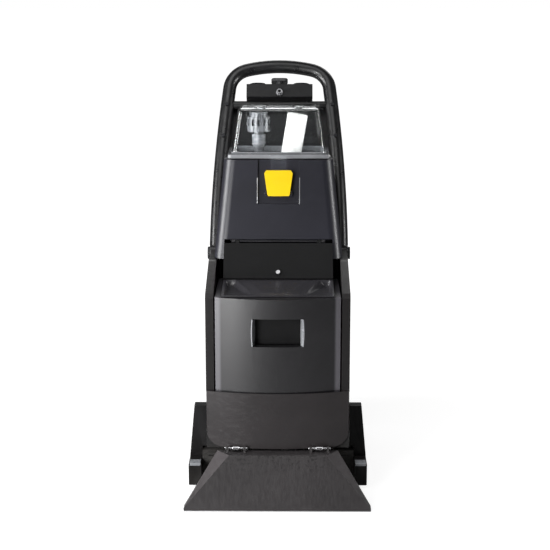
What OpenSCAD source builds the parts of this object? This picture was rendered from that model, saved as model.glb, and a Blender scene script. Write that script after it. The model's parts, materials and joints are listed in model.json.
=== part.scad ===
// Self-contained walk-behind carpet extractor.
// X runs across the machine, Y from its front (the vacuum shoe) to its back, Z up from the floor.
// The origin is on the floor under the middle of the machine's box.

/* [Body] */
// Width of the front body
body_w = 386; // [380:2:388]
// Width of the narrower rear body that the wheels and the handle arms stand beside
rear_w = 310; // [300:2:310]
// Y of the front of the bumper on the centre line
bumper_front = -326; // [-328:1:-325]
// Height of the bumper's upper edge
bumper_top = 279; // [275:1:290]
// Height of the body's upper rim
rim_z = 598; // [594:1:598]
// Wall thickness of the moulded shells
wall = 4; // [3:0.5:4]
// How far the front faces bulge at the middle
bulge = 30; // [20:1:30]

/* [Solution tank] */
// Width of the tank's visible front
tank_w = 334; // [320:2:336]
// Height of the tank's front rim
tank_top = 536; // [530:1:537]
// Width of the grip pocket
grip_w = 136; // [110:2:150]
// Height of the grip pocket
grip_h = 76; // [60:2:84]
// Depth of the grip pocket
grip_d = 34; // [28:1:40]

/* [Recovery tank] */
// Half width of the tank at its lower front corners
rec_low = 178; // [170:1:180]
// Half width of the tank at its upper front corners
rec_high = 153; // [148:1:158]
// Radius of the front corners
rec_corner = 34; // [26:1:38]

/* [Handle] */
// Lean of the handle back from upright, in degrees
handle_lean = 33.56; // [32:0.01:36]
// Distance from the pivot to the middle of the grip
handle_len = 615; // [605:1:625]
// Radius of the handle tube
handle_r = 20; // [17:0.5:20]
// Radius of the corners at the tube's centre line
handle_corner = 72; // [60:1:90]
// Radius of the arms' gentle inward bow
arm_bow = 4900; // [4500:100:6000]

/* [Running gear] */
// Radius of the rear wheels
wheel_r = 125; // [118:1:125]
// Radius of the front caster wheels
caster_r = 32; // [28:1:32]
// Radius of the brush over its bristles
brush_r = 42; // [38:0.5:42]
// Width of the vacuum shoe
shoe_w = 490; // [484:2:490]

/* [Hidden] */

$fn = 64;
fit = 0.06;
floor_z = 125;
bay_z = 186;
back_y = 335;
hip_y = 30;
rail_in = 171;
pan_z = 110;
grip_z = 445;
rec_z0 = 600;
rec_z1 = 862;
rec_y0 = -105;
rec_y1 = -10;
pipe_y = 96;
vac_x = -57;
duct_x = 30;
pivot_y = 100;
pivot_z = 575;
arm_x = 182;
crown_r = 400;
shoe_y = -332;
shoe_z = 129;
brush_y = -195;
brush_z = 43;
drive_y = -180;
drive_z = 133;
deck_y = 12;
deck_z = 112;
cover_top = 214;
caster_x = 125;
caster_y = -35;
trail = 18;
wheel_y = 275;
door_y = -93.4;
door_z = 647.9;
dome_y = 168;
dome_z = 872;
latch_z = 772;
box_s = [497, 540];
gland_s = 509;
panel_tilt = 227.87;
panel_s = 521;
panel_n = -21;
switch_x = [-56, 0];

function rec_front(z) = rec_y0 + (z - rec_z0) * (rec_y1 - rec_y0) / (rec_z1 - rec_z0);
function sag_radius(half, sag) = half * half / (2 * sag) + sag / 2;
function arm_at(s) = arm_x - arm_bow + sqrt(arm_bow * arm_bow - s * s);

// Outlines in the YZ plane, extruded across the machine
module across(x0, x1) {
    translate([x0, 0, 0])
        rotate([90, 0, 90])
            linear_extrude(x1 - x0)
                children();
}

// Outlines in the XZ plane, extruded towards the back
module along(y0, y1) {
    translate([0, y1, 0])
        rotate([90, 0, 0])
            linear_extrude(y1 - y0)
                children();
}

module block(x0, x1, y0, y1, z0, z1) {
    translate([x0, y0, z0])
        cube([x1 - x0, y1 - y0, z1 - z0]);
}

module rod_x(x0, x1, y, z, r) {
    translate([x0, y, z])
        rotate([0, 90, 0])
            cylinder(h = x1 - x0, r = r);
}

module rod_y(x, y0, y1, z, r) {
    translate([x, y1, z])
        rotate([90, 0, 0])
            cylinder(h = y1 - y0, r = r);
}

module rod_z(x, y, z0, z1, r) {
    translate([x, y, z0])
        cylinder(h = z1 - z0, r = r);
}

module both_sides() {
    children();
    mirror([1, 0, 0])
        children();
}

module rounded_rect(x0, x1, y0, y1, r) {
    translate([x0 + r, y0 + r])
        offset(r = r, $fn = 32)
            square([x1 - x0 - 2 * r, y1 - y0 - 2 * r]);
}

// Plan of a front shell: rounded corners and a bulging front
module front_plan(half, y0, y1, r, t) {
    big = sag_radius(half, bulge);
    intersection() {
        rounded_rect(-half + t, half - t, y0 + t, y1 - t, r - t);
        translate([0, y0 + big])
            circle(r = big - t);
    }
}

module ring(r, bore) {
    difference() {
        circle(r = r);
        circle(r = bore);
    }
}

module pipe_y(x, y0, y1, z, r, bore) {
    translate([x, y1, z])
        rotate([90, 0, 0])
            linear_extrude(y1 - y0)
                ring(r, bore);
}

module pipe_z(x, y, z0, z1, r, bore) {
    translate([x, y, z0])
        linear_extrude(z1 - z0)
            ring(r, bore);
}

// A quarter bend of a pipe in the YZ plane: centre, bend radius, start angle, radii
module bend(x, y, z, bend_r, start, r, bore) {
    translate([x, y, z])
        rotate([90, 0, 90])
            rotate_extrude(angle = 90, start = start)
                translate([bend_r, 0])
                    ring(r, bore);
}

// ---------- base ----------

module bowl(t, z1) {
    half = body_w / 2;
    intersection() {
        translate([0, 0, floor_z - 1])
            linear_extrude(z1 - floor_z + 1)
                front_plan(half, bumper_front, hip_y, 45, t);
        along(bumper_front - 1, hip_y + 1)
            rounded_rect(-half + t, half - t, floor_z + t, z1 + 60, 45 - t);
    }
}

module rail_side(t) {
    polygon([
        [-290 + t, bumper_top - 4 - 3 * t], [-290 + t, 532 - t / 2], [-280 + t, 544 - t],
        [-112 + t / 2, 594 - t], [-100, rim_z - t], [hip_y - t, rim_z - t],
        [hip_y - t, bumper_top - 4 - 3 * t]
    ]);
}

module rail() {
    difference() {
        across(rail_in, body_w / 2)
            rail_side(0);
        across(rail_in + wall, body_w / 2 - wall)
            rail_side(wall);
    }
    block(rear_w / 2 - wall, rail_in + 1, hip_y - wall, hip_y, bumper_top - 4, rim_z);
}

module base_shell() {
    rear = rear_w / 2;
    color("#26262a")
        difference() {
            union() {
                difference() {
                    bowl(0, bumper_top);
                    difference() {
                        bowl(wall, bumper_top + 10);
                        block(-200, 200, -330, -90, bay_z, bay_z + wall);
                        block(-200, 200, -90 - wall, -90, 100, bay_z + 1);
                    }
                }
                difference() {
                    translate([0, 0, pan_z])
                        linear_extrude(rim_z - pan_z)
                            rounded_rect(-rear, rear, hip_y - 30, back_y, 22);
                    translate([0, 0, pan_z + wall])
                        linear_extrude(rim_z - pan_z - 2 * wall)
                            rounded_rect(-rear + wall, rear - wall, hip_y - 60, back_y - wall, 18);
                    block(-200, 200, -40, hip_y - wall, 100, 620);
                }
                both_sides()
                    rail();
                block(-rear + 1, rear - 1, -52, hip_y, rim_z - wall, rim_z);
                block(-rear, rear, hip_y - wall, hip_y, pan_z, floor_z + wall);
            }
            // deck bay, the passage behind it and the lines that cross it
            block(-187, 187, -288, -94, 100, bay_z);
            block(duct_x - 22, duct_x + 22, -306, -286, 100, 140);
            block(-rear + wall, rear - wall, 20, 40, floor_z + wall, rim_z - wall);
            rod_y(duct_x, -95, -89, 160, 21);
            rod_y(-80, -95, -89, 178, 7);
            both_sides()
                block(186, 200, -196, -160, 120, 166);
            // shelf ports, axle holes and the opening behind the rear cover
            rod_z(duct_x, pipe_y, rim_z - 10, rim_z + 2, 20.5);
            rod_z(vac_x, pipe_y, rim_z - 10, rim_z + 2, 22);
            rod_x(-170, 170, wheel_y, wheel_r, 10 + fit);
            block(-115, 115, back_y - 10, back_y + 5, 190, 540);
        }
}

module rear_cover() {
    outside = back_y + 4.7;
    color("#202024")
        difference() {
            union() {
                translate([0, 0, 150])
                    linear_extrude(420)
                        rounded_rect(-130, 130, back_y + 0.2, outside, 2);
                // clip for the drain hose
                rod_z(-90, 362, 430, 450, 23);
                block(-100, -80, outside - 1, 352, 430, 450);
                // lower cord hook
                rod_y(60, outside - 1, 370, 500, 11);
                translate([60, 378, 500])
                    rotate([90, 0, 0])
                        linear_extrude(9)
                            rounded_rect(-15, 15, -36, 36, 11);
            }
            rod_z(-90, 362, 420, 460, 19.3);
            block(-104, -76, 366, 390, 420, 460);
            for (row = [0:7])
                both_sides()
                    block(20, 108, back_y - 2, outside + 2, 196 + 16 * row, 203 + 16 * row);
            rod_y(80, back_y - 1, outside + 2, 400, 8.1);
        }
}

module tool_coupling() {
    color("#b08a3c")
        difference() {
            union() {
                rod_y(80, back_y - 6, back_y + 12, 400, 8);
                rod_y(80, back_y + 4.8, back_y + 10, 400, 12);
                rod_y(80, back_y + 11, back_y + 30, 400, 5.5);
            }
            rod_y(80, back_y - 8, back_y + 32, 400, 3);
        }
}

// ---------- solution tank and its filler ----------

module neck_side() {
    polygon([[-164, 500], [-164, 556], [-97, 638], [-56, 638], [-56, 500]]);
}

module solution_tank() {
    half = tank_w / 2;
    front = bumper_front + 4;
    color("#2a2a2e")
        difference() {
            union() {
                difference() {
                    union() {
                        translate([0, 0, bumper_top + 3])
                            linear_extrude(tank_top - bumper_top - 3)
                                front_plan(half, front, -60, 8, 0);
                        translate([0, 0, bay_z + wall + 0.3])
                            linear_extrude(bumper_top - bay_z)
                                front_plan(half, front + 5, -60, 8, 0);
                        across(-146, 146)
                            neck_side();
                        both_sides() {
                            across(120, 128) {
                                translate([door_y, door_z])
                                    circle(r = 4.6);
                                polygon([[-93.5, 636], [-80, 636], [-90, 649], [-93.5, 645]]);
                            }
                        }
                    }
                    // inside, kept clear of the grip pocket
                    difference() {
                        union() {
                            translate([0, 0, bay_z + 2 * wall])
                                linear_extrude(tank_top - bay_z - 3 * wall)
                                    front_plan(half, front + 5, -60, 8, wall);
                            across(-142, 142)
                                polygon([
                                    [-160, 520], [-160, 568], [-108, 634],
                                    [-60, 634], [-60, 520]
                                ]);
                        }
                        block(
                            -grip_w / 2 - wall, grip_w / 2 + wall, front - 5,
                            front + grip_d + wall, grip_z - grip_h / 2 - wall, grip_z + grip_h / 2 + wall
                        );
                    }
                }
                rod_y(-110, -62, -46, 210, 4.9);
            }
            block(
                -grip_w / 2, grip_w / 2, front - 5, front + grip_d,
                grip_z - grip_h / 2, grip_z + grip_h / 2
            );
            rod_y(-110, -70, -40, 210, 3);
            rod_x(-140, 140, door_y, door_z, 2.5 + fit);
        }
}

module fill_funnel() {
    color("#303036")
        difference() {
            union() {
                difference() {
                    across(-150, 150)
                        polygon([
                            [-292, tank_top + 1], [-292, 541], [-171, 556],
                            [-171, tank_top + 1]
                        ]);
                    across(-147, 147)
                        polygon([[-289, 530], [-289, 538], [-174, 552], [-174, 530]]);
                }
                both_sides()
                    block(76, 142, -280, -182, tank_top + 1, 545);
            }
            both_sides()
                block(79, 139, -277, -185, tank_top + 4, 560);
        }
}

module fill_strainer() {
    color("#d8d8d0")
        difference() {
            union() {
                block(-60, 60, -150, -90, 520, 556);
                block(-141.8, 141.8, -158, -60.3, 553, 556);
            }
            block(-58, 58, -148, -92, 522, 560);
            for (i = [0:8])
                block(-52 + 12 * i, -46 + 12 * i, -145, -95, 518, 524);
        }
}

module door_face(a, b) {
    // corners run from a to b outwards from the neck's sloping mouth
    polygon([
        [-164 - 0.7744 * a, 556 + 0.6327 * a], [-164 - 0.7744 * b, 556 + 0.6327 * b],
        [-95.1 - 0.7744 * b, 640.3 + 0.6327 * b], [-95.1 - 0.7744 * a, 640.3 + 0.6327 * a]
    ]);
}

module fill_door() {
    color("#1c1c1e")
        difference() {
            union() {
                across(-150, 150)
                    door_face(1, 5.5);
                both_sides()
                    across(108, 118) {
                        translate([door_y, door_z])
                            circle(r = 4.6);
                        polygon([[-100.2, 638], [-97, 642], [-89.5, 645.4], [-97.6, 649.6]]);
                    }
            }
            rod_x(-140, 140, door_y, door_z, 2.5 + fit);
            on_door()
                cylinder(h = 20, r = 3 + fit, center = true);
        }
}

module on_door() {
    translate([0, -158.2, 572.1])
        rotate([50.75, 0, 0])
            children();
}

module door_hinge_pin() {
    color("#a8a8ac")
        rod_x(-130, 130, door_y, door_z, 2.5);
}

module door_button() {
    color("#d9d9dc")
        on_door() {
            translate([0, 0, -4])
                cylinder(h = 10, r = 3);
            translate([0, 0, 4.5])
                cylinder(h = 4.5, r = 5.5);
        }
}

// ---------- vacuum, pump and lines ----------

module vacuum_motor() {
    color("#8c8c90")
        difference() {
            union() {
                rod_z(-66, pipe_y, 508, rim_z - wall - 0.2, 72);
                rod_z(-66, pipe_y, 420, 509, 52);
                rod_z(-66, pipe_y, 408, 421, 16);
            }
            rod_z(-66, pipe_y, 512, rim_z - 2 * wall, 68);
            rod_z(vac_x, pipe_y, 580, 600, 20);
            rod_z(-66, pipe_y, 424, 505, 48);
            rod_z(-66, pipe_y, 500, 516, 20);
        }
}

module solution_pump() {
    color("#6c6c72") {
        rod_y(-95, 139, 228, 200, 30);
        block(-127, -63, 97, 140, 165, 235);
        block(-122, -68, 110, 215, pan_z + wall + 0.2, 172);
    }
}

module suction_hose() {
    color("#c9c9c4")
        pipe_y(-110, -59.8, 96.8, 210, 8, 4.95);
}

module pressure_hose() {
    color("#50505a") {
        pipe_y(-80, -245, 96.8, 178, 5, 3);
        bend(-80, -245, 161, 17, 90, 5, 3);
        pipe_z(-80, -262, 94.3, 161, 5, 3);
    }
}

module shoe_hose() {
    color("#1b1b1d") {
        pipe_y(duct_x, -318, -308, 100, 19.5, 17.1);
        bend(duct_x, -308, 130, 30, -90, 19.5, 17.1);
        bend(duct_x, -248, 130, 30, 90, 19.5, 17.1);
    }
}

module vacuum_duct() {
    color("#1b1b1d") {
        pipe_y(duct_x, -247.8, 61, 160, 19, 16.5);
        bend(duct_x, 61, 195, 35, -90, 19, 16.5);
        pipe_z(duct_x, pipe_y, 195, 599.6, 19, 16.5);
    }
}

// ---------- recovery tank ----------

module rec_hull(t) {
    r1 = rec_corner - t;
    hull() {
        both_sides() {
            translate([rec_low - rec_corner, rec_y0 + rec_corner, rec_z0 + t])
                cylinder(h = 0.5, r = r1, $fn = 32);
            translate([118, 205, rec_z0 + t])
                cylinder(h = 0.5, r = 20 - t, $fn = 32);
            translate([rec_high - rec_corner, rec_y1 + rec_corner, rec_z1 - t - 0.5])
                cylinder(h = 0.5, r = r1, $fn = 32);
            translate([105, 170, rec_z1 - t - 0.5])
                cylinder(h = 0.5, r = 20 - t, $fn = 32);
        }
    }
}

module latch_recess(half, depth, low) {
    across(-half, half)
        polygon([
            [rec_front(low) - 30, low], [rec_front(low) + depth, low],
            [rec_front(rec_z1 + 8) + depth, rec_z1 + 8], [rec_front(rec_z1 + 8) - 30, rec_z1 + 8]
        ]);
}

module recovery_tank() {
    color("#2c3238")
        difference() {
            union() {
                difference() {
                    rec_hull(0);
                    difference() {
                        rec_hull(wall);
                        block(-154, 154, -120, -44, 590, 656);
                        latch_recess(58 + wall, 7 + wall, 741);
                    }
                    block(-150, 150, -120, -48, 590, 652);
                    latch_recess(58, 7, 745);
                }
                both_sides() {
                    block(33, 38, rec_front(latch_z) - 2, rec_front(latch_z) + 9, 766, 779);
                    across(50, 60) {
                        translate([dome_y, dome_z])
                            circle(r = 6);
                        polygon([[162, 860], [182, 860], [174, 872], [162, 872]]);
                    }
                }
                rod_y(-90, 216, 262, 640, 15.9);
            }
            block(-115, 115, 18, 142, 850, 870);
            rod_z(duct_x, pipe_y, 590, 610, 16.5);
            rod_z(vac_x, pipe_y, 590, 610, 15);
            rod_y(-90, 200, 270, 640, 13);
            rod_x(-64, 64, dome_y, dome_z, 3 + fit);
            rod_x(-40, 40, rec_front(latch_z), latch_z, 2.5 + fit);
        }
}

module dome_gasket() {
    color("#111112")
        difference() {
            translate([0, 0, 862.2])
                linear_extrude(2.8)
                    rounded_rect(-138, 138, 4, 158, 8);
            translate([0, 0, 860])
                linear_extrude(8)
                    rounded_rect(-118, 118, 15, 145, 8);
        }
}

module dome_hull(t) {
    hull() {
        both_sides() {
            translate([123, 16, 869])
                cylinder(h = 1, r = 10 - t, $fn = 32);
            translate([123, 140, 869])
                cylinder(h = 1, r = 10 - t, $fn = 32);
            translate([107, 40, 992])
                sphere(r = 10 - t, $fn = 32);
            translate([107, 138, 992])
                sphere(r = 10 - t, $fn = 32);
        }
    }
}

module recovery_dome() {
    color("#c8dce6", 0.35)
        difference() {
            union() {
                dome_hull(0);
                translate([0, 0, 865.2])
                    linear_extrude(10)
                        rounded_rect(-141, 141, -2, 160, 8);
                // tongue whose bead the latch holds down
                across(-22, 22)
                    polygon([
                        [-21.8, 829.3], [-15.8, 829.3], [-13.2, 838], [-13.2, 865.2], [0, 865.2],
                        [0, 875.2], [-15.7, 875.2], [-15.7, 843], [-18.2, 832.7], [-21.8, 832.7]
                    ]);
                both_sides()
                    across(38, 49) {
                        translate([dome_y, dome_z])
                            circle(r = 5.5);
                        polygon([[156, 866], [168, 866.5], [168, 877], [156, 875.2]]);
                    }
                rod_z(-52, 60, 1001, 1006, 20);
                rod_z(56, 60, 1001, 1006, 17);
            }
            dome_hull(3);
            translate([0, 0, 860])
                linear_extrude(9.5)
                    rounded_rect(-130, 130, 9, 147, 7);
            rod_x(-64, 64, dome_y, dome_z, 3 + fit);
        }
}

module tank_pins() {
    color("#a8a8ac") {
        rod_x(-62, 62, dome_y, dome_z, 3);
        rod_x(-39, 39, rec_front(latch_z), latch_z, 2.5);
    }
}

module dome_latch() {
    low = 767;
    high = 835;
    color("#f4d400")
        difference() {
            intersection() {
                union() {
                    across(-40, 40)
                        polygon([
                            [rec_front(low) + 1.2, low], [rec_front(low) - 7, low],
                            [rec_front(high) - 7, high], [rec_front(high) + 1.2, high]
                        ]);
                    rod_x(-31, 31, rec_front(latch_z), latch_z, 5);
                }
                along(-80, 0)
                    polygon([
                        [-27, low - 2], [27, low - 2], [31, low + 4], [39.5, high - 8],
                        [34, high], [-34, high], [-39.5, high - 8], [-31, low + 4]
                    ]);
            }
            rod_x(-45, 45, rec_front(latch_z), latch_z, 2.5 + fit);
            block(-24, 24, -23, -12, 828.5, 833.5);
        }
}

module vacuum_standpipe() {
    color("#6a6e72")
        difference() {
            union() {
                rod_z(vac_x, pipe_y, rec_z0 + wall + 0.2, 940, 15);
                rod_z(vac_x, pipe_y, rec_z0 + wall + 0.2, rec_z0 + 12, 24);
                rod_z(vac_x, pipe_y, 886, 892.5, 18);
            }
            rod_z(vac_x, pipe_y, 600, 950, 12.5);
        }
}

module shutoff_cage() {
    color("#7c8084")
        difference() {
            union() {
                rod_z(vac_x, pipe_y, 931, 972, 33);
                rod_z(vac_x, pipe_y, 971, 985, 25);
            }
            rod_z(vac_x, pipe_y, 925, 945, 15 + fit);
            rod_z(vac_x, pipe_y, 944, 968, 29);
            for (i = [0:11])
                translate([vac_x, pipe_y, 948])
                    rotate([0, 0, 30 * i])
                        translate([20, -3, 0])
                            cube([20, 6, 18]);
        }
}

module float_cup() {
    color("#9a9ea2")
        difference() {
            rod_z(vac_x, pipe_y, 893, 923, 19.5);
            rod_z(vac_x, pipe_y, 890, 925, 15.3);
        }
}

module recovery_standpipe() {
    foot = rec_z0 + wall + 0.2;
    lean = 9.5;
    top_x = duct_x + 200 * (1 - cos(lean));
    top_z = 820 + 200 * sin(lean);
    color("#efefec") {
        pipe_z(duct_x, pipe_y, foot, 820, 28.5, 25.5);
        translate([duct_x + 200, pipe_y, 820])
            rotate([90, 0, 0])
                rotate_extrude(angle = -lean, start = 180)
                    translate([200, 0])
                        ring(28.5, 25.5);
        translate([top_x, pipe_y, top_z])
            rotate([0, lean, 0]) {
                linear_extrude(127)
                    ring(28.5, 25.5);
                translate([0, 0, -4])
                    linear_extrude(8)
                        ring(29.3, 27);
            }
    }
}

module drain_hose() {
    color("#1d1d20") {
        pipe_y(-90, 232, 317, 640, 19, 16);
        bend(-90, 317, 595, 45, 0, 19, 16);
        pipe_z(-90, 362, 252, 595, 19, 16);
    }
}

module drain_cap() {
    color("#b3292b")
        difference() {
            union() {
                rod_z(-90, 362, 247, 280, 22);
                rod_z(-90, 362, 236, 248, 12);
            }
            rod_z(-90, 362, 251, 290, 19 + fit);
        }
}

// ---------- handle ----------

module in_handle() {
    translate([0, pivot_y, pivot_z])
        rotate([90 - handle_lean, 0, 0])
            children();
}

// Where the corner arcs meet the arms and the crown of the loop
bow_x = arm_bow - arm_x;
bow_s = handle_len - crown_r;
bow_d = norm([bow_x, bow_s]);
bow_r = arm_bow - handle_corner;
turn_r = crown_r - handle_corner;
bow_u = (bow_r * bow_r - turn_r * turn_r + bow_d * bow_d) / (2 * bow_d);
bow_v = sqrt(bow_r * bow_r - bow_u * bow_u);
corner_x = -bow_x + (bow_u * bow_x - bow_v * bow_s) / bow_d;
corner_s = (bow_u * bow_s + bow_v * bow_x) / bow_d;
arm_a = atan2(corner_s, corner_x + bow_x);
crown_a = atan2(corner_s - bow_s, corner_x);

module loop(r, bore) {
    both_sides() {
        translate([-bow_x, 0, 0])
            rotate_extrude(angle = arm_a, $fn = 800)
                translate([arm_bow, 0])
                    ring(r, bore, $fn = 64);
        translate([corner_x, corner_s, 0])
            rotate([0, 0, arm_a])
                rotate_extrude(angle = crown_a - arm_a)
                    translate([handle_corner, 0])
                        ring(r, bore);
    }
    translate([0, bow_s, 0])
        rotate([0, 0, crown_a])
            rotate_extrude(angle = 180 - 2 * crown_a)
                translate([crown_r, 0])
                    ring(r, bore);
    // collars over the joints between the arms, the corners and the crown
    both_sides()
        for (a = [arm_a, crown_a])
            translate([corner_x, corner_s, 0])
                rotate([0, 0, a])
                    translate([handle_corner, 0, 0])
                        rotate([90, 0, 0])
                            cylinder(h = 6, r = r + 0.7, center = true);
}

module handle_loop() {
    color("#202022")
        in_handle()
            difference() {
                union() {
                    loop(handle_r, handle_r - 2.5);
                    rod_x(-140, 140, 483, 0, 12);
                    both_sides()
                        rod_x(164, 200.5, 0, 0, 24);
                }
                both_sides() {
                    rod_x(150, 164.3, 0, 0, 24.5);
                    rod_x(201, 210, 0, 0, 22);
                    rod_x(160, 205, 0, 0, 8 + fit);
                    for (s = [370, 475])
                        rod_z(arm_at(s), s, -30, 30, 3 + fit);
                }
            }
}

module console_panel() {
    low = 330;
    high = 487;
    color("#252528")
        in_handle()
            difference() {
                translate([0, 0, -32])
                    linear_extrude(11.8)
                        polygon([
                            [-arm_at(low) - 8, low], [arm_at(low) + 8, low],
                            [arm_at(high) + 8, high], [-arm_at(high) - 8, high]
                        ]);
                translate([0, 0, -33])
                    linear_extrude(8.8)
                        polygon([
                            [-arm_at(low) + 14, low + 4], [arm_at(low) - 14, low + 4],
                            [arm_at(high) - 14, high - 4], [-arm_at(high) + 14, high - 4]
                        ]);
                both_sides()
                    for (s = [370, 475])
                        rod_z(arm_at(s), s, -34, -15, 3 + fit);
            }
}

module console_screws() {
    color("#c8c8cc")
        in_handle()
            both_sides()
                for (s = [370, 475]) {
                    rod_z(arm_at(s), s, -31, 20.5, 3);
                    rod_z(arm_at(s), s, 20.2, 24, 5.5);
                }
}

module box_side(t) {
    polygon([
        [box_s[0] + t, 28 - t], [box_s[1] - t, 28 - t], [box_s[1] - t, t / 2],
        [box_s[1] - 38 - t / 3, -42 + t], [box_s[0] + t, -42 + t]
    ]);
}

module on_panel(x) {
    translate([x, panel_s, panel_n])
        rotate([panel_tilt, 0, 0])
            children();
}

module control_box() {
    color("#232326")
        in_handle()
            difference() {
                union() {
                    difference() {
                        across(-100, 100)
                            box_side(0);
                        across(-97, 97)
                            box_side(3);
                    }
                    both_sides()
                        across(45, 90)
                            polygon([
                                [box_s[1] - 1, 4], [box_s[1] + 5, 8],
                                [box_s[1] + 5, 20], [box_s[1] - 1, 24]
                            ]);
                    both_sides()
                        block(84, 96, 495.4, 500, -10, 10);
                    for (x = switch_x)
                        on_panel(x)
                            translate([-16, -13, -6])
                                cube([32, 26, 8]);
                }
                rod_z(0, gland_s, 20, 30, 8 + fit);
                for (x = switch_x)
                    on_panel(x)
                        cube([26, 20, 20], center = true);
                on_panel(66)
                    cylinder(h = 20, r = 5 + fit, center = true);
                translate([0, box_s[1], 14])
                    rotate([90, 0, 0])
                        cylinder(h = 10, r = 5 + fit, center = true);
            }
}

module rocker(x) {
    in_handle()
        on_panel(x)
            across(-12, 12)
                polygon([[-8, -2], [8, -2], [8, 4.5], [0, 2.8], [-8, 4.5]]);
}

module vacuum_switch() {
    color("#a52a24")
        rocker(switch_x[0]);
}

module brush_switch() {
    color("#2b2b2e")
        rocker(switch_x[1]);
}

module breaker_button() {
    color("#d8d8da")
        in_handle()
            on_panel(66) {
                translate([0, 0, -8])
                    cylinder(h = 13, r = 5);
                translate([0, 0, -10])
                    cylinder(h = 3, r = 7);
            }
}

module cord_gland() {
    color("#b9b9bc")
        in_handle()
            difference() {
                union() {
                    rod_z(0, gland_s, 22, 30, 8);
                    rod_z(0, gland_s, 28.2, 34, 10.5);
                    rod_z(0, gland_s, 33, 42, 8);
                }
                rod_z(0, gland_s, 15, 50, 4.6);
            }
}

module upper_cord_hook() {
    color("#18181a")
        in_handle()
            translate([0, 0, 14])
                rotate([-90, 0, 0]) {
                    rod_z(0, 0, box_s[1] - 2.5, box_s[1] + 14, 5);
                    rod_z(0, 0, box_s[1] + 0.4, box_s[1] + 13, 10);
                    translate([0, 0, box_s[1] + 12])
                        linear_extrude(10)
                            rounded_rect(-25, 25, -12, 12, 10);
                }
}

module handle_brackets() {
    color("#8a8a8e")
        both_sides() {
            rod_x(155.2, 163.9, pivot_y, pivot_z, 22.5);
            rod_x(163, 201, pivot_y, pivot_z, 8);
            rod_x(200, 205.5, pivot_y, pivot_z, 5);
        }
}

module lobed_knob() {
    difference() {
        rod_x(201.5, 207, pivot_y, pivot_z, 18);
        rod_x(200, 206, pivot_y, pivot_z, 5 + fit);
        for (i = [0:7])
            translate([0, pivot_y, pivot_z])
                rotate([45 * i, 0, 0])
                    rod_x(200, 212, 20, 0, 4);
    }
}

module left_knob() {
    color("#141416")
        mirror([1, 0, 0])
            lobed_knob();
}

module right_knob() {
    color("#141416")
        lobed_knob();
}

// ---------- wheels and casters ----------

module rear_axle() {
    color("#9c9ca0") {
        rod_x(-206, 206, wheel_y, wheel_r, 10);
        both_sides()
            rod_x(202, 206, wheel_y, wheel_r, 17);
    }
}

module tyre() {
    difference() {
        rod_x(165, 200, wheel_y, wheel_r, wheel_r);
        rod_x(160, 205, wheel_y, wheel_r, wheel_r - 30);
    }
}

module hub() {
    difference() {
        union() {
            difference() {
                rod_x(164, 201, wheel_y, wheel_r, wheel_r - 30.05);
                rod_x(160, 205, wheel_y, wheel_r, wheel_r - 38);
            }
            rod_x(162.5, 201.5, wheel_y, wheel_r, 24);
            rod_x(180, 186, wheel_y, wheel_r, wheel_r - 36);
            for (i = [0:5])
                translate([0, wheel_y, wheel_r])
                    rotate([60 * i, 0, 0])
                        block(168, 197, -4, 4, 20, wheel_r - 36);
        }
        rod_x(155, 210, wheel_y, wheel_r, 10 + fit);
    }
}

module left_tyre() {
    color("#2f2f31")
        mirror([1, 0, 0])
            tyre();
}

module right_tyre() {
    color("#2f2f31")
        tyre();
}

module left_hub() {
    color("#8f9194")
        mirror([1, 0, 0])
            hub();
}

module right_hub() {
    color("#8f9194")
        hub();
}

module caster_plates() {
    color("#b4b4b8")
        both_sides() {
            block(caster_x - 30, caster_x + 22, caster_y - 30, caster_y + 30, 121, 124.8);
            rod_z(caster_x, caster_y, 106, 122, 6);
        }
}

module caster_fork() {
    difference() {
        union() {
            rod_z(caster_x, caster_y, 112, 120.6, 20);
            rod_z(caster_x, caster_y, 104, 113, 12);
            for (side = [-1, 1])
                translate([caster_x + side * 15 - 1.5, 0, 0])
                    across(0, 3)
                        polygon([
                            [caster_y - 14, 113], [caster_y + 16, 113],
                            [caster_y + trail + 10, caster_r + 4],
                            [caster_y + trail + 5, caster_r - 9],
                            [caster_y + trail - 5, caster_r - 9],
                            [caster_y + trail - 10, caster_r + 4]
                        ]);
            block(caster_x - 16.5, caster_x + 16.5, caster_y - 14, caster_y + 16, 108, 113);
        }
        rod_z(caster_x, caster_y, 104.5, 125, 6 + fit);
        rod_x(caster_x - 20, caster_x + 20, caster_y + trail, caster_r, 4 + fit);
    }
}

module caster_wheel() {
    rod_x(caster_x - 18.5, caster_x + 18.5, caster_y + trail, caster_r, 4);
    rod_x(caster_x - 11, caster_x + 11, caster_y + trail, caster_r, caster_r);
    rod_x(caster_x - 13, caster_x + 13, caster_y + trail, caster_r, 12);
}

module left_caster_fork() {
    color("#b4b4b8")
        mirror([1, 0, 0])
            caster_fork();
}

module right_caster_fork() {
    color("#b4b4b8")
        caster_fork();
}

module left_caster_wheel() {
    color("#5a5c5f")
        mirror([1, 0, 0])
            caster_wheel();
}

module right_caster_wheel() {
    color("#5a5c5f")
        caster_wheel();
}

// ---------- brush deck ----------

module hood(r, low) {
    translate([brush_y, brush_z])
        intersection() {
            circle(r = r);
            translate([-r, 0])
                square([2 * r, r]);
        }
    translate([brush_y - r, low])
        square([2 * r, brush_z - low]);
}

module deck_arm() {
    across(60, 66)
        difference() {
            polygon([
                [-150, 62], [-146, 62], [-90, 84], [deck_y + 4, 103], [deck_y + 10, 112],
                [deck_y + 6, 120], [deck_y - 6, 121], [-90, 103], [-160, 92]
            ]);
            translate([deck_y, deck_z])
                circle(r = 5 + fit);
        }
}

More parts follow.
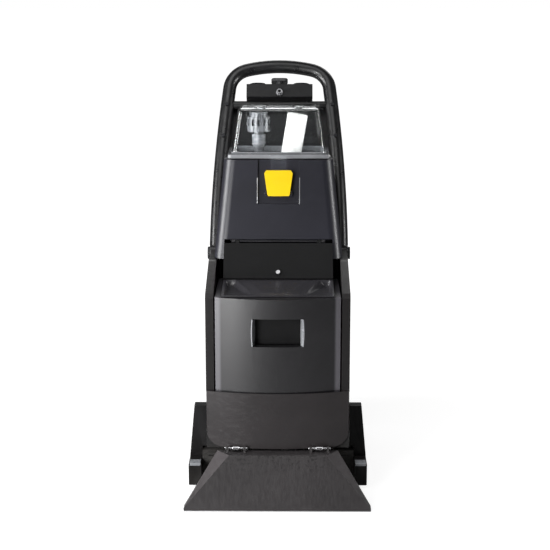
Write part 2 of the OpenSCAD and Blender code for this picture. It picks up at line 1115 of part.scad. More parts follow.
module deck_housing() {
    color("#2b2b2d")
        difference() {
            union() {
                difference() {
                    across(-208, 208)
                        hood(brush_r + 10, 8);
                    across(-204, 204)
                        hood(brush_r + 6, 0);
                }
                both_sides()
                    deck_arm();
                // motor saddles and spray bar brackets
                for (x = [70, 150])
                    across(x, x + 6)
                        polygon([[-228, 84], [-146, 62], [-146, 118], [-214, 118]]);
                for (x = [-150, 144])
                    across(x, x + 6)
                        polygon([[-244, 50], [-270, 76], [-270, 98], [-244, 84], [-225, 82]]);
            }
            rod_x(50, 190, drive_y, drive_z, 35);
            across(-204, 204)
                hood(brush_r + 6, 0);
            rod_x(-210, 210, brush_y, brush_z, 8 + fit);
            rod_x(-160, 160, -262, 88, 6);
        }
}

module cover_outline(t) {
    polygon([
        [208.3 + t, 69 - 3 * t], [243 - t, 69 - 3 * t], [229.5 - t, cover_top - t],
        [197 + t, cover_top - t], [197 + t, 98 + t], [208.3 + t, 98 + t]
    ]);
}

// A cover's upper part seen from the side: upright in front, leaning forward behind
module cover_side(t) {
    polygon([
        [-225 + t, 30], [-225 + t, cover_top - t], [-192 - 1.6 * t, cover_top - t],
        [-100 - 1.6 * t, 90], [-100 - 1.6 * t, 30]
    ]);
}

module end_cover() {
    difference() {
        union() {
            along(-290, -100)
                rounded_rect(208.3, 243, 8, 70, 3);
            intersection() {
                along(-225, -100)
                    cover_outline(0);
                across(190, 250)
                    cover_side(0);
            }
        }
        block(212, 239.5, -286, -104, 5, 66);
        intersection() {
            along(-221, -104)
                cover_outline(wall);
            across(190, 250)
                cover_side(wall);
        }
        rod_x(200, 214, brush_y, brush_z, 28);
        rod_x(190, 205, drive_y, drive_z, 12);
    }
}

module end_covers() {
    color("#2b2b2d")
        both_sides()
            end_cover();
}

module deck_pivot() {
    color("#8a8a8e") {
        both_sides()
            across(70, 75)
                polygon([
                    [deck_y - 14, 124.8], [deck_y + 6, 124.8], [deck_y + 9, 112],
                    [deck_y + 5, 103], [deck_y - 5, 103], [deck_y - 9, 112]
                ]);
        rod_x(-80, 80, deck_y, deck_z, 5);
    }
}

module spray_bar() {
    color("#b9b9bc")
        difference() {
            union() {
                rod_x(-190, 190, -262, 88, 5.9);
                for (x = [-165, -55, 55, 165])
                    rod_z(x, -262, 66, 88, 4.5);
                rod_z(-80, -262, 88, 96, 2.9);
            }
            for (x = [-165, -55, 55, 165])
                rod_z(x, -262, 60, 80, 1.5);
        }
}

module brush_motor() {
    color("#5d6066")
        difference() {
            union() {
                rod_x(55, 180, drive_y, drive_z, 34.9);
                rod_x(179, 185, drive_y, drive_z, 18);
            }
            rod_x(150, 190, drive_y, drive_z, 5 + fit);
        }
}

module motor_pulley() {
    color("#b0b0b4") {
        rod_x(152, 228, drive_y, drive_z, 5);
        rod_x(214, 226, drive_y, drive_z, 12);
    }
}

module belt_path(t) {
    hull() {
        translate([brush_y, brush_z])
            circle(r = 22 + t);
        translate([drive_y, drive_z])
            circle(r = 12 + t);
    }
}

module drive_belt() {
    color("#151516")
        across(215, 225)
            difference() {
                belt_path(2.6);
                belt_path(0.35);
            }
}

module brush_roller() {
    color("#d8d4c8") {
        rod_x(-200, 200, brush_y, brush_z, 24);
        rod_x(-211, 228, brush_y, brush_z, 8);
        rod_x(214, 226, brush_y, brush_z, 22);
    }
}

module brush_bristles() {
    color("#3a4a78")
        difference() {
            rod_x(-198, 198, brush_y, brush_z, brush_r);
            rod_x(-199, 199, brush_y, brush_z, 24);
        }
}

// ---------- vacuum shoe ----------

module shoe_hull(t, low) {
    half = shoe_w / 2 - t;
    hull() {
        translate([0, 0, low])
            linear_extrude(9 - low)
                polygon([
                    [-half, -460 + t], [half, -460 + t], [half, -436 - t], [-half, -436 - t]
                ]);
        translate([0, 0, 116 - t])
            linear_extrude(4)
                polygon([
                    [-130 + t, -362 + t], [130 - t, -362 + t],
                    [162 - 1.5 * t, -322 - t], [-162 + 1.5 * t, -322 - t]
                ]);
    }
}

module vacuum_shoe() {
    color("#3a3a3d")
        difference() {
            union() {
                shoe_hull(0, 3.2);
                both_sides()
                    for (x = [86, 132])
                        across(x, x + 6) {
                            translate([shoe_y, shoe_z])
                                circle(r = 5.5);
                            polygon([[-344, 117], [-324, 117], [-327, 130], [-337, 130]]);
                        }
                rod_y(duct_x, -345, -312, 100, 17);
            }
            shoe_hull(3.5, 1);
            rod_y(duct_x, -350, -310, 100, 14.5);
            both_sides()
                rod_x(80, 144, shoe_y, shoe_z, 3 + fit);
        }
}

module shoe_lip() {
    half = shoe_w / 2;
    color("#9a9a9e")
        difference() {
            block(-half, half, -460, -436, 0.8, 3);
            block(-half + 4, half - 4, -456, -440, 0, 5);
        }
}

module shoe_hinge() {
    color("#c4c4c8")
        both_sides() {
            across(103, 121) {
                translate([shoe_y, shoe_z])
                    circle(r = 5.5);
                polygon([
                    [-335, 125.2], [-326, 121.5], [-300, 117], [-296, 117],
                    [-296, 124.8], [-323, 124.8], [-327, 130]
                ]);
            }
            rod_x(82, 142, shoe_y, shoe_z, 3);
        }
}

base_shell();
rear_cover();
solution_tank();
fill_funnel();
fill_strainer();
fill_door();
door_hinge_pin();
door_button();
vacuum_motor();
solution_pump();
suction_hose();
pressure_hose();
vacuum_duct();
shoe_hose();
tool_coupling();
recovery_tank();
tank_pins();
dome_gasket();
recovery_dome();
dome_latch();
vacuum_standpipe();
shutoff_cage();
float_cup();
recovery_standpipe();
drain_hose();
drain_cap();
handle_loop();
console_panel();
console_screws();
control_box();
vacuum_switch();
brush_switch();
breaker_button();
cord_gland();
upper_cord_hook();
handle_brackets();
left_knob();
right_knob();
rear_axle();
left_tyre();
left_hub();
right_tyre();
right_hub();
caster_plates();
left_caster_fork();
left_caster_wheel();
right_caster_fork();
right_caster_wheel();
deck_housing();
end_covers();
deck_pivot();
spray_bar();
brush_motor();
motor_pulley();
drive_belt();
brush_roller();
brush_bristles();
vacuum_shoe();
shoe_lip();
shoe_hinge();
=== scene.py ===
import json
import math

import bmesh
import bpy
from mathutils import Matrix, Vector


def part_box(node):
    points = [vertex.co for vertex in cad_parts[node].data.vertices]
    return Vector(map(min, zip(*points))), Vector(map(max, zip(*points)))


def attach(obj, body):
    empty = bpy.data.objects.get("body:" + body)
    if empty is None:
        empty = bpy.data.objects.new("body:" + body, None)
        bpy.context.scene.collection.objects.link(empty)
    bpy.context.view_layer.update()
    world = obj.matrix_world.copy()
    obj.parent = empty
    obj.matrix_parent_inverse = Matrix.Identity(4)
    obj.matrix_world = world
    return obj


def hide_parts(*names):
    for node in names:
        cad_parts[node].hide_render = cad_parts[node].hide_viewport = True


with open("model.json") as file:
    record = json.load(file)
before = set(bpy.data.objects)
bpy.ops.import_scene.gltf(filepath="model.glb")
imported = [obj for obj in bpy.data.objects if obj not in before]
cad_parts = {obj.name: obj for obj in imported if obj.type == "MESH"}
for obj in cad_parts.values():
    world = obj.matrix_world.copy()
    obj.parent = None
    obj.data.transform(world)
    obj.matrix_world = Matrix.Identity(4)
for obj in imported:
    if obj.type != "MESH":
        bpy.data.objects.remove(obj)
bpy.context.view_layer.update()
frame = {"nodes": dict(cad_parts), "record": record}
nodes = frame["nodes"]

MM = 0.001

# ---------------------------------------------------------------- node materials


class Shader:
    """One material under construction: makes nodes and links them."""

    def __init__(self, name):
        self.material = bpy.data.materials.new(name)
        self.material.use_nodes = True
        self.tree = self.material.node_tree
        self.tree.nodes.clear()
        self.out = self.tree.nodes.new("ShaderNodeOutputMaterial")
        self.bsdf = self.tree.nodes.new("ShaderNodeBsdfPrincipled")
        self.link(self.bsdf.outputs[0], self.out.inputs[0])
        self.place = self.tree.nodes.new("ShaderNodeTexCoord").outputs["Object"]

    def link(self, a, b):
        self.tree.links.new(a, b)

    def set(self, socket, value):
        self.bsdf.inputs[socket].default_value = value

    def stretched(self, scale):
        """The place in the frame, stretched by a scale for each axis."""
        node = self.tree.nodes.new("ShaderNodeMapping")
        node.inputs["Scale"].default_value = scale
        self.link(self.place, node.inputs["Vector"])
        return node.outputs[0]

    def noise(self, per_metre, detail=3.0, vector=None):
        node = self.tree.nodes.new("ShaderNodeTexNoise")
        node.inputs["Scale"].default_value = per_metre
        node.inputs["Detail"].default_value = detail
        self.link(vector or self.place, node.inputs["Vector"])
        return node.outputs["Fac"]

    def cells(self, per_metre):
        node = self.tree.nodes.new("ShaderNodeTexVoronoi")
        node.inputs["Scale"].default_value = per_metre
        self.link(self.place, node.inputs["Vector"])
        return node.outputs["Distance"]

    def along(self, axis):
        node = self.tree.nodes.new("ShaderNodeSeparateXYZ")
        self.link(self.place, node.inputs[0])
        return node.outputs[axis]

    def height(self):
        return self.along("Z")

    def edges(self):
        node = self.tree.nodes.new("ShaderNodeNewGeometry")
        return node.outputs["Pointiness"]

    def either_side(self, vector=None):
        """The size of a vector's x, without its sign; the place in the frame is the usual vector."""
        parts = self.tree.nodes.new("ShaderNodeSeparateXYZ")
        size = self.tree.nodes.new("ShaderNodeMath")
        size.operation = "ABSOLUTE"
        self.link(vector or self.place, parts.inputs[0])
        self.link(parts.outputs["X"], size.inputs[0])
        return size.outputs[0]

    def normal(self):
        return self.tree.nodes.new("ShaderNodeNewGeometry").outputs["Normal"]

    def spread(self, value, low, high, to_low=0.0, to_high=1.0):
        node = self.tree.nodes.new("ShaderNodeMapRange")
        for socket, number in zip(("From Min", "From Max", "To Min", "To Max"), (low, high, to_low, to_high)):
            node.inputs[socket].default_value = number
        self.link(value, node.inputs["Value"])
        return node.outputs["Result"]

    def times(self, a, b):
        node = self.tree.nodes.new("ShaderNodeMath")
        node.operation = "MULTIPLY"
        self.link(a, node.inputs[0])
        self.link(b, node.inputs[1])
        return node.outputs[0]

    def larger(self, a, b):
        node = self.tree.nodes.new("ShaderNodeMath")
        node.operation = "MAXIMUM"
        self.link(a, node.inputs[0])
        self.link(b, node.inputs[1])
        return node.outputs[0]

    def mix(self, factor, a, b):
        """A mix of two colours; each is a colour or a socket."""
        node = self.tree.nodes.new("ShaderNodeMix")
        node.data_type = "RGBA"
        self.link(factor, node.inputs["Factor"])
        for value, socket in ((a, node.inputs[6]), (b, node.inputs[7])):
            if isinstance(value, tuple):
                socket.default_value = (*value, 1.0)
            else:
                self.link(value, socket)
        return node.outputs[2]

    def bump(self, parts):
        """Bumps on top of each other: pairs of a height socket and its depth in metres."""
        normal = None
        for value, depth in parts:
            node = self.tree.nodes.new("ShaderNodeBump")
            node.inputs["Strength"].default_value = 1.0
            node.inputs["Distance"].default_value = depth
            self.link(value, node.inputs["Height"])
            if normal:
                self.link(normal, node.inputs["Normal"])
            normal = node.outputs["Normal"]
        self.link(normal, self.bsdf.inputs["Normal"])


def shade(colour, amount):
    return tuple(max(0.0, min(1.0, c * amount)) for c in colour)


DUST_COLOUR = (0.16, 0.145, 0.13)
SHADE_SHARE, HIGHLIGHT_SHARE = 0.5, 7  # of the base colour, in a moulding's painted shade and in its painted highlight


def moulded(name, colour, rough, grain=0.0009, depth=0.00003, mottle=0.12, wear=0.35, dust=0.0,
            specular=0.5, uneven=1.0, shade_from=None, highlight_beyond=None):
    """Moulded plastic: spark-eroded grain, uneven sheen, paler worn edges, and dust low down.

    It can be darker above the height and behind the y given, a painted shade, and paler beyond a distance to either
    side, a painted highlight."""
    s = Shader(name)
    cloud = s.noise(9.0, 4.0)
    base = s.mix(s.spread(cloud, 0.35, 0.65), shade(colour, 1 - mottle), shade(colour, 1 + mottle))
    scuffs = s.spread(s.noise(55.0, 6.0, s.stretched((1.0, 1.0, 3.0))), 0.50, 0.72)
    worn = s.times(s.spread(s.edges(), 0.52, 0.60, 0.0, wear), s.spread(cloud, 0.3, 0.7, 0.5, 1.0))
    base = s.mix(worn, base, shade(tuple(c + 0.03 for c in colour), 2.6))
    # painted shade: darker above a height and behind a y; the bumper low in front keeps the base colour
    if shade_from:
        z, y = shade_from
        dark = s.larger(s.spread(s.height(), z - 0.004, z + 0.004), s.spread(s.along("Y"), y - 0.02, y + 0.02))
        base = s.mix(dark, base, shade(colour, SHADE_SHARE))
    # painted highlight: paler beyond a distance to either side
    if highlight_beyond:
        pale = s.spread(s.either_side(), highlight_beyond, highlight_beyond + 0.007)
        base = s.mix(pale, base, shade(colour, HIGHLIGHT_SHARE))
    if dust:
        low = s.spread(s.height(), 0.02, 0.16, dust, 0.0)
        base = s.mix(s.times(low, s.noise(30.0, 5.0)), base, DUST_COLOUR)
    s.link(base, s.bsdf.inputs["Base Color"])
    s.link(s.spread(scuffs, 0.0, 1.0, rough - 0.05 * uneven, rough + 0.11 * uneven), s.bsdf.inputs["Roughness"])
    s.set("Specular IOR Level", specular)
    s.bump([(s.cells(1 / grain), depth), (s.noise(38.0, 2.0), depth * 4)])
    return s.material


def metal(name, colour, rough, along=(1.0, 40.0, 40.0), stain=0.25):
    """Plated or brushed metal: fine lines along one axis, clouded plating, handling marks."""
    s = Shader(name)
    lines = s.noise(60.0, 5.0, s.stretched(along))
    cloud = s.noise(22.0, 4.0)
    base = s.mix(s.spread(cloud, 0.4, 0.7, 0.0, stain), colour, shade(colour, 0.55))
    s.link(base, s.bsdf.inputs["Base Color"])
    s.set("Metallic", 1.0)
    s.link(s.spread(lines, 0.3, 0.7, rough - 0.07, rough + 0.12), s.bsdf.inputs["Roughness"])
    s.bump([(lines, 0.00002), (s.noise(240.0, 3.0), 0.00001)])
    return s.material


def coated(name, colour, rough):
    """Powder-coated steel: fine orange peel and small bright chips on the edges."""
    s = Shader(name)
    base = s.mix(s.spread(s.noise(14.0, 4.0), 0.35, 0.65), shade(colour, 0.85), shade(colour, 1.25))
    rubbed = s.times(s.spread(s.noise(70.0, 6.0), 0.56, 0.66), s.spread(s.edges(), 0.51, 0.58, 0.0, 0.5))
    base = s.mix(rubbed, base, (0.16, 0.16, 0.165))
    s.link(base, s.bsdf.inputs["Base Color"])
    s.link(s.spread(s.noise(45.0, 3.0), 0.3, 0.7, rough - 0.05, rough + 0.08), s.bsdf.inputs["Roughness"])
    s.bump([(s.noise(900.0, 2.0), 0.00004), (s.noise(160.0, 2.0), 0.00003)])
    return s.material


def rubbery(name, colour, rough, dust=0.5):
    """Rubber: matt, finely pitted, with a bloom and dust where it meets the floor."""
    s = Shader(name)
    bloom = s.spread(s.noise(26.0, 6.0), 0.42, 0.68)
    base = s.mix(bloom, shade(colour, 0.85), shade(tuple(c + 0.012 for c in colour), 1.35))
    low = s.spread(s.height(), 0.0, 0.10, dust, dust * 0.2)
    base = s.mix(s.times(low, s.noise(90.0, 5.0)), base, (0.17, 0.155, 0.14))
    s.link(base, s.bsdf.inputs["Base Color"])
    s.link(s.spread(bloom, 0.0, 1.0, rough - 0.06, rough + 0.08), s.bsdf.inputs["Roughness"])
    s.set("Specular IOR Level", 0.35)
    s.bump([(s.noise(1100.0, 2.0), 0.00004), (s.noise(75.0, 3.0), 0.00005)])
    return s.material


def clear(name, colour, rough):
    """Clear moulded plastic: faint flow lines and wiping marks."""
    s = Shader(name)
    haze = s.noise(30.0, 5.0, s.stretched((1.0, 1.0, 4.0)))
    s.link(s.mix(s.spread(haze, 0.4, 0.7), colour, shade(colour, 0.95)), s.bsdf.inputs["Base Color"])
    s.set("Transmission Weight", 1.0)
    s.set("IOR", 1.46)
    s.link(s.spread(haze, 0.35, 0.75, rough, rough + 0.05), s.bsdf.inputs["Roughness"])
    s.bump([(s.noise(35.0, 2.0), 0.00008)])
    path = s.tree.nodes.new("ShaderNodeLightPath")
    through = s.tree.nodes.new("ShaderNodeBsdfTransparent")
    through.inputs["Color"].default_value = (0.93, 0.93, 0.93, 1.0)
    pick = s.tree.nodes.new("ShaderNodeMixShader")
    s.link(path.outputs["Is Shadow Ray"], pick.inputs[0])
    s.link(s.bsdf.outputs[0], pick.inputs[1])
    s.link(through.outputs[0], pick.inputs[2])
    s.link(pick.outputs[0], s.out.inputs[0])
    return s.material


def bristled(name, colour):
    """Nylon bristles: fine strands of slightly different shades."""
    s = Shader(name)
    strands = s.noise(1400.0, 2.0)
    s.link(s.mix(strands, shade(colour, 0.5), shade(colour, 1.6)), s.bsdf.inputs["Base Color"])
    s.set("Roughness", 0.5)
    s.bump([(strands, 0.0001)])
    return s.material


def speckled_shoe(name, colour, rough):
    """The shoe's plastic, splashed with dried dirt near its upper edge, with a painted highlight on its slanted
    faces.
    """
    s = Shader(name)
    cloud = s.noise(8.0, 4.0)
    base = s.mix(s.spread(cloud, 0.35, 0.65), shade(colour, 0.85), shade(colour, 1.15))
    upper = s.spread(s.height(), 0.075, 0.110)
    spots = s.times(s.spread(s.noise(150.0, 3.0), 0.56, 0.62), upper)
    base = s.mix(spots, base, shade(colour, 0.25))
    pale = s.times(s.spread(s.noise(420.0, 2.0), 0.64, 0.69), upper)
    base = s.mix(pale, base, shade(colour, 2.4))
    worn = s.spread(s.edges(), 0.52, 0.60, 0.0, 0.4)
    base = s.mix(worn, base, shade(colour, 2.2))
    # painted highlight: faces turned to either side are paler, more so higher up
    slanted = s.times(s.spread(s.either_side(s.normal()), 0.20, 0.35), s.spread(s.height(), 0.01, 0.10, 0.25, 1.0))
    base = s.mix(slanted, base, shade(colour, 2.3))
    s.link(base, s.bsdf.inputs["Base Color"])
    s.link(s.spread(s.noise(60.0, 6.0, s.stretched((3.0, 1.0, 0.6))), 0.35, 0.7, rough - 0.05, rough + 0.1),
           s.bsdf.inputs["Roughness"])
    s.bump([(s.cells(900.0), 0.00003), (s.noise(30.0, 3.0), 0.00015)])
    return s.material


PAINT = {
    # black_shell: painted shade on the rails and on the shell above 281 mm and behind y = -90 mm
    "black_shell": moulded("black_shell", (0.021, 0.0185, 0.0193), 0.34, wear=0.0, dust=0.15, specular=0.32,
                          shade_from=(0.281, -0.09)),
    # black_tank: painted highlight on the outer 17 mm of the tank's front to either side
    "black_tank": moulded("black_tank", (0.011, 0.0105, 0.0118), 0.36, depth=0.00001, wear=0.0, uneven=0.3,
                         highlight_beyond=0.150),
    "black_funnel": moulded("black_funnel", (0.026, 0.025, 0.029), 0.38, wear=0.0),
    "black_door": moulded("black_door", (0.006, 0.006, 0.0063), 0.50, depth=0.00006, wear=0.0, specular=0.12),
    "charcoal_tank": moulded("charcoal_tank", (0.0115, 0.0115, 0.0165), 0.36, depth=0.00001, wear=0.0, uneven=0.3),
    "black_console": moulded("black_console", (0.005, 0.005, 0.0055), 0.44, wear=0.1, specular=0.22,
                             grain=0.0014, depth=0.00008),
    "black_cover": moulded("black_cover", (0.0045, 0.0043, 0.0047), 0.36, wear=0.1, dust=0.1, specular=0.12),
    "black_deck": moulded("black_deck", (0.007, 0.007, 0.0073), 0.46, wear=0.1, dust=0.3, specular=0.2),
    "black_knob": moulded("black_knob", (0.010, 0.010, 0.011), 0.52),
    "black_hook": moulded("black_hook", (0.012, 0.012, 0.013), 0.38),
    "black_switch": moulded("black_switch", (0.020, 0.020, 0.022), 0.25, depth=0.00001),
    "grey_shoe": speckled_shoe("grey_shoe", (0.0185, 0.0165, 0.0172), 0.38),
    "grey_plastic": moulded("grey_plastic", (0.085, 0.088, 0.094), 0.22, wear=0.9),
    "float_grey": moulded("float_grey", (0.13, 0.135, 0.145), 0.3),
    "hub_grey": moulded("hub_grey", (0.20, 0.20, 0.21), 0.42, dust=0.5),
    "caster_grey": rubbery("caster_grey", (0.13, 0.13, 0.14), 0.6),
    "pale_plastic": moulded("pale_plastic", (0.62, 0.62, 0.58), 0.45),
    "pale_button": moulded("pale_button", (0.36, 0.36, 0.37), 0.25, depth=0.00001),
    "roller_plastic": moulded("roller_plastic", (0.55, 0.53, 0.47), 0.45, dust=0.5),
    "white_pipe": moulded("white_pipe", (0.86, 0.86, 0.84), 0.32, mottle=0.04, wear=0.0),
    "yellow_latch": moulded("yellow_latch", (0.66, 0.44, 0.003), 0.34, mottle=0.05, wear=0.1),
    "red_plastic": moulded("red_plastic", (0.45, 0.03, 0.03), 0.38),
    "red_switch": moulded("red_switch", (0.42, 0.025, 0.02), 0.25, depth=0.00001),
    "clear_hose": moulded("clear_hose", (0.55, 0.55, 0.50), 0.3),
    "hose_black": rubbery("hose_black", (0.016, 0.016, 0.017), 0.42, dust=0.3),
    "seal_rubber": rubbery("seal_rubber", (0.010, 0.010, 0.011), 0.6, dust=0.1),
    "tyre_rubber": rubbery("tyre_rubber", (0.028, 0.028, 0.029), 0.72, dust=0.8),
    "belt_rubber": rubbery("belt_rubber", (0.012, 0.012, 0.013), 0.6),
    "clear_dome": clear("clear_dome", (0.95, 0.97, 0.98), 0.02),
    "motor_grey": coated("motor_grey", (0.19, 0.20, 0.21), 0.45),
    "handle_paint": coated("handle_paint", (0.0055, 0.0055, 0.006), 0.30),
    "steel_pin": metal("steel_pin", (0.05, 0.05, 0.055), 0.4),
    "plated_steel": metal("plated_steel", (0.55, 0.55, 0.57), 0.32),
    "bright_steel": metal("bright_steel", (0.78, 0.78, 0.80), 0.16),
    "zinc_screw": metal("zinc_screw", (0.035, 0.035, 0.038), 0.45, (20.0, 20.0, 20.0)),
    "zinc_gland": metal("zinc_gland", (0.30, 0.30, 0.31), 0.4),
    "bright_lip": metal("bright_lip", (0.50, 0.50, 0.51), 0.35),
    "brass_fitting": metal("brass_fitting", (0.70, 0.50, 0.22), 0.28),
    "bristle_blue": bristled("bristle_blue", (0.04, 0.07, 0.19)),
}

# ---------------------------------------------------------------- the CAD's own pieces


def paint(obj, slot):
    obj.data.materials.clear()
    obj.data.materials.append(PAINT[slot])


def soften(obj, width, segments=3, angle=28.0):
    """Rounded edges: merge the mesh's seams, dissolve flat triangulation, bevel, smooth."""
    weld = obj.modifiers.new("weld", "WELD")
    weld.merge_threshold = 0.00001
    flat = obj.modifiers.new("flat", "DECIMATE")
    flat.decimate_type = "DISSOLVE"
    flat.angle_limit = math.radians(0.5)
    bevel = obj.modifiers.new("bevel", "BEVEL")
    bevel.width = width
    bevel.segments = segments
    bevel.limit_method = "ANGLE"
    bevel.angle_limit = math.radians(angle)
    bevel.use_clamp_overlap = True
    bevel.harden_normals = True
    bevel.miter_outer = "MITER_ARC"
    even = obj.modifiers.new("even", "WEIGHTED_NORMAL")
    even.keep_sharp = True
    even.weight = 60


def finish_node(name, slot, width):
    obj = nodes[name]
    paint(obj, slot)
    if width:
        obj.data.shade_smooth()
        soften(obj, width * MM)


slots = {s["node"]: s["material_slot"] for s in frame["record"]["subparts"]}
# Edge radii in millimetres; a node that is not listed gets a small one
RADII = {
    "base_shell": 2.2, "solution_tank": 3.6, "recovery_tank": 1.6, "fill_door": 1.4, "fill_funnel": 1.2,
    "end_covers": 2.6, "vacuum_shoe": 2.0, "control_box": 2.6, "console_panel": 2.4, "dome_latch": 2.0,
    "rear_cover": 1.4, "left_hub": 1.0, "right_hub": 1.0, "deck_housing": 0.8, "left_knob": 1.2,
    "right_knob": 1.2, "upper_cord_hook": 1.6, "suction_hose": 0, "pressure_hose": 0, "vacuum_duct": 0,
    "shoe_hose": 0, "drive_belt": 0, "brush_bristles": 0, "recovery_standpipe": 0, "handle_loop": 0,
}
for name in nodes:
    finish_node(name, slots[name], RADII.get(name, 0.5))

# ---------------------------------------------------------------- mesh helpers


def piece(name, body, slot, verts, faces, replaces=(), angle=35.0):
    """A closed mesh that rides on a CAD body, with its normals outwards and its edges kept."""
    mesh = bpy.data.meshes.new(name)
    mesh.from_pydata([tuple(v) for v in verts], [], faces)
    work = bmesh.new()
    work.from_mesh(mesh)
    bmesh.ops.recalc_face_normals(work, faces=work.faces)
    work.to_mesh(mesh)
    work.free()
    mesh.shade_smooth()
    mesh.set_sharp_from_angle(angle=math.radians(angle))
    obj = bpy.data.objects.new(name, mesh)
    bpy.context.scene.collection.objects.link(obj)
    paint(obj, slot)
    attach(obj, body)
    if replaces:
        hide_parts(*replaces)
    return obj


def loft(rings, closed=False):
    """A skin over rings of equally many points, with end caps unless it runs back to its start."""
    n = len(rings[0])
    verts = [p for ring in rings for p in ring]
    faces = []
    for i in range(len(rings) if closed else len(rings) - 1):
        a, b = i * n, (i + 1) % len(rings) * n
        faces += [(a + k, a + (k + 1) % n, b + (k + 1) % n, b + k) for k in range(n)]
    if not closed:
        faces.append(tuple(range(n)))
        faces.append(tuple(range(len(verts) - n, len(verts))))
    return verts, faces


def join(*shells):
    """Several skins as one list of vertices and faces."""
    verts, faces = [], []
    for v, f in shells:
        faces += [tuple(k + len(verts) for k in face) for face in f]
        verts += v
    return verts, faces


def turned(profile, y, z, steps=72, axis="X", x=0.0):
    """A profile of (along, radius) points, a closed outline, turned about an axis through the place given."""
    rings = []
    for i in range(steps):
        a = 2 * math.pi * i / steps
        c, s = math.cos(a), math.sin(a)
        if axis == "X":
            rings.append([(u, y + r * c, z + r * s) for u, r in profile])
        else:
            rings.append([(x + r * c, y + r * s, u) for u, r in profile])
    return loft(rings, closed=True)


def rounded(points, radius, steps=4):
    """A closed outline with each corner rounded."""
    out = []
    n = len(points)
    for i, (px, py) in enumerate(points):
        before, after = Vector(points[i - 1]), Vector(points[(i + 1) % n])
        here = Vector((px, py))
        a, b = (before - here), (after - here)
        reach = min(radius, a.length / 2.01, b.length / 2.01)
        start, end = here + a.normalized() * reach, here + b.normalized() * reach
        for k in range(steps + 1):
            t = k / steps
            p = start * (1 - t) ** 2 + here * 2 * t * (1 - t) + end * t * t
            out.append((p.x, p.y))
    return out


def rounded_box(x0, x1, y0, y1, r, z, steps=6):
    """A rounded rectangle as one ring at a height."""
    ring = []
    for cx, cy, start in ((x1 - r, y1 - r, 0), (x0 + r, y1 - r, 90), (x0 + r, y0 + r, 180), (x1 - r, y0 + r, 270)):
        for k in range(steps + 1):
            a = math.radians(start + 90 * k / steps)
            ring.append((cx + r * math.cos(a), cy + r * math.sin(a), z))
    return ring


def tube(path, radii, sides=40):
    """A tube along points; its frame turns as little as it can."""
    rings = []
    side = None
    for i, p in enumerate(path):
        ahead = (path[min(i + 1, len(path) - 1)] - path[max(i - 1, 0)]).normalized()
        if side is None:
            side = ahead.orthogonal().normalized()
        side = (side - ahead * side.dot(ahead)).normalized()
        up = ahead.cross(side)
        r = radii if isinstance(radii, float) else radii[i]
        rings.append([
            p + (side * math.cos(a) + up * math.sin(a)) * r
            for a in (2 * math.pi * k / sides for k in range(sides))
        ])
    return rings


def arc(centre, radius, start, end, steps):
    return [
        (centre[0] + radius * math.cos(a), centre[1] + radius * math.sin(a))
        for a in (start + (end - start) * k / steps for k in range(steps + 1))
    ]


# ---------------------------------------------------------------- handle

PIVOT_Y, PIVOT_Z = 0.100, 0.575
LEAN = math.radians(33.56)
GRIP_FAR, TUBE_R, CORNER_R, CROWN_R = 0.615, 0.020, 0.072, 0.400
ARM_X, ARM_BOW = 0.182, 4.9
# The pivot's clamping disc, its knob's flat on the tube, and the end of its boss
DISC_R, DISC_FACE, KNOB_FLAT_R, KNOB_FACE, BOSS_END = 0.0246, 0.1643, 0.0220, 0.2008, 0.2005


def on_handle(x, s, n=0.0):
    """A point of the handle: across, along from the pivot, and towards the front."""
    return Vector((
        x,
        PIVOT_Y + s * math.sin(LEAN) - n * math.cos(LEAN),
        PIVOT_Z + s * math.cos(LEAN) + n * math.sin(LEAN),
    ))


def handle_path():
    """The tube's centre line: a bowed arm, a corner, the crown of the loop, and the same mirrored."""
    arm, crown = Vector((ARM_X - ARM_BOW, 0.0)), Vector((0.0, GRIP_FAR - CROWN_R))
    apart = crown - arm
    along = (ARM_BOW - CORNER_R) ** 2 - (CROWN_R - CORNER_R) ** 2 + apart.length_squared
    along /= 2 * apart.length
    beside = math.sqrt((ARM_BOW - CORNER_R) ** 2 - along ** 2)
    ahead = apart.normalized()
    corner = arm + ahead * along + Vector((-ahead.y, ahead.x)) * beside
    arm_a = math.atan2(corner.y, corner.x - arm.x)
    crown_a = math.atan2(corner.y - crown.y, corner.x)
    half = arc(arm, ARM_BOW, 0.0, 0.0245 / ARM_BOW, 7) + arc(arm, ARM_BOW, 0.026 / ARM_BOW, arm_a, 12)[:-1]
    half += arc(corner, CORNER_R, arm_a, crown_a, 24)
    half += arc(crown, CROWN_R, crown_a, math.pi / 2, 12)[1:]
    return [on_handle(x, s) for x, s in half] + [on_handle(-x, s) for x, s in reversed(half[:-1])]


def handle_tube():
    """The tube, with flats where its clamping disc and its knob bear."""
    rings = tube(handle_path(), TUBE_R)
    for ring in rings:
        for p in ring:
            from_pivot = math.hypot(p.y - PIVOT_Y, p.z - PIVOT_Z)
            if from_pivot < DISC_R:
                p.x = math.copysign(max(abs(p.x), DISC_FACE), p.x)
            if from_pivot < KNOB_FLAT_R:
                p.x = math.copysign(min(abs(p.x), KNOB_FACE), p.x)
    return loft(rings)


def pivot_boss(x0, x1):
    outline = rounded([(x0, 0.0081), (x0, 0.024), (x1, 0.024), (x1, 0.0081)], 0.0022)
    return turned(outline, PIVOT_Y, PIVOT_Z, 64)


piece("handle_tube", "handle", "handle_paint", *handle_tube(), replaces=["handle_loop"])
piece("handle_pivots", "handle", "handle_paint",
      *join(pivot_boss(DISC_FACE, BOSS_END), pivot_boss(-BOSS_END, -DISC_FACE)), replaces=["handle_loop"])
piece("handle_crossbar", "handle", "handle_paint",
      *loft(tube([on_handle(x / 4 * 0.140, 0.483) for x in range(-4, 5)], 0.012, 28)), replaces=["handle_loop"])

# ---------------------------------------------------------------- clear dome


